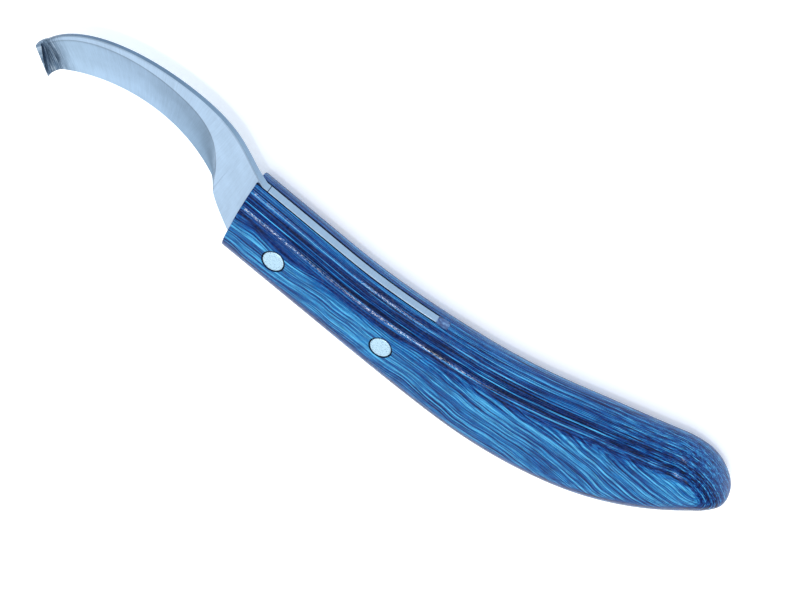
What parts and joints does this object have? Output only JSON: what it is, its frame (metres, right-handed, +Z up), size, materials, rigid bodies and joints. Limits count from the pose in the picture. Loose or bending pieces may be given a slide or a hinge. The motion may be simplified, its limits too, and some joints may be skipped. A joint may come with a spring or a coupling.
{
  "type": "hoof knife",
  "caption": "Hook knife for hoof trimming: a curved steel blade with a curled tip, riveted into a slot in a swept handle of laminated wood.",
  "frame": {"origin": "on the flat of the side that the knife rests on, straight below the handle's centre line and midway between the two rivets", "axes": "+X runs from the handle towards the hooked tip, +Y points from the spine towards the cutting edge, and +Z points up through the handle's thickness, along the rivets"},
  "size_m": [0.2132, 0.0442, 0.019],
  "materials": {
    "handle_wood": "blue-dyed laminated wood, lacquered, satin to gloss",
    "blade_steel": "ground stainless steel, satin",
    "rivet_metal": "sanded flush",
    "glue": "dark cured resin",
    "filler": "resin mixed with wood dust"
  },
  "bodies": {
    "root": {"handle": "handle_wood", "blade": "blade_steel", "front_rivet": "rivet_metal", "rear_rivet": "rivet_metal", "tang_glue": "glue", "slot_filler": "filler"}
  },
  "joints": []
}
